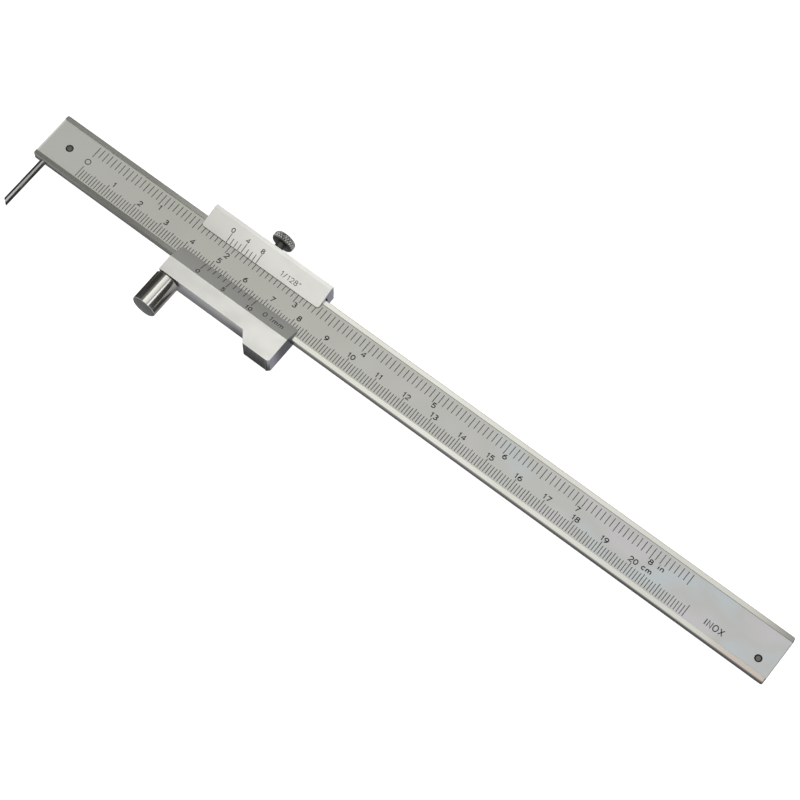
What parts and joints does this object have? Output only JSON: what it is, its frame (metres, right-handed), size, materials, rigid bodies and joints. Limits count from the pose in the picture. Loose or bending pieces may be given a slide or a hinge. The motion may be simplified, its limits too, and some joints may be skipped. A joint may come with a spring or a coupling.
{
  "type": "parallel marking vernier caliper",
  "caption": "Stainless marking caliper: graduated beam with a clamped carbide scriber and a sliding vernier head carrying a round guide pin, thumb rest and knurled lock screw.",
  "frame": {"origin": "bottom centre of the bounding box, in the plane of the slider's back face, with the caliper lying on its back", "axes": "+X along the beam from the scriber end to the far end, +Y across the beam towards the lock screw, +Z out of the graduated face"},
  "size_m": [0.2632, 0.043, 0.008],
  "materials": {
    "beam_steel": "satin chromed scale floor between two ground rails",
    "slider_steel": "fine satin stainless",
    "screw_steel": "turned steel",
    "scriber_steel": "ground bright",
    "carbide": "ground tungsten carbide",
    "dark_steel": "blackened",
    "lock_steel": "dark knurled",
    "pin_chrome": "hardened, ground and polished",
    "gib_bronze": "rolled spring bronze",
    "brass": "turned"
  },
  "bodies": {
    "beam": {"beam": "beam_steel", "end_stop_screw": "screw_steel"},
    "scriber": {"scriber_shank": "scriber_steel", "scriber_tip": "carbide"},
    "scriber_clamp_screw": {"scriber_clamp_screw": "screw_steel"},
    "slider": {"slider_body": "slider_steel", "slider_top_rail": "slider_steel", "slider_back_plate": "slider_steel", "back_plate_screw_1": "screw_steel", "back_plate_screw_2": "screw_steel", "back_plate_screw_3": "screw_steel", "back_plate_screw_4": "screw_steel", "gib_strip": "gib_bronze", "gib_set_screw_1": "dark_steel", "gib_set_screw_2": "dark_steel", "guide_pin": "pin_chrome", "guide_pin_set_screw": "dark_steel"},
    "lock_shoe": {"lock_shoe": "brass"},
    "lock_screw": {"lock_screw": "lock_steel"}
  },
  "joints": [
    {"name": "slider_travel", "type": "slide", "parent": "beam", "child": "slider", "axis": [1, 0, 0], "range_m": [-0.049, 0.158]},
    {"name": "lock_shoe_travel", "type": "slide", "parent": "slider", "child": "lock_shoe", "axis": [0, 1, 0], "range_m": [0, 0.00046]},
    {"name": "lock_screw_turn", "type": "hinge", "parent": "lock_shoe", "child": "lock_screw", "pos_m": [-0.05535, 0.0165, 0.00375], "axis": [0, 1, 0], "range_deg": [0, 360]},
    {"name": "scriber_reach", "type": "slide", "parent": "beam", "child": "scriber", "axis": [0, 1, 0], "range_m": [-0.003, 0.0065]},
    {"name": "scriber_clamp_turn", "type": "hinge", "parent": "beam", "child": "scriber_clamp_screw", "pos_m": [-0.1241, 0.00445, 0.0024], "axis": [0, 0, -1], "range_deg": [0, 180]}
  ],
  "couplings": [
    {"joint": "lock_shoe_travel", "follows": "lock_screw_turn", "m_per_rad": 0.00007162}
  ]
}
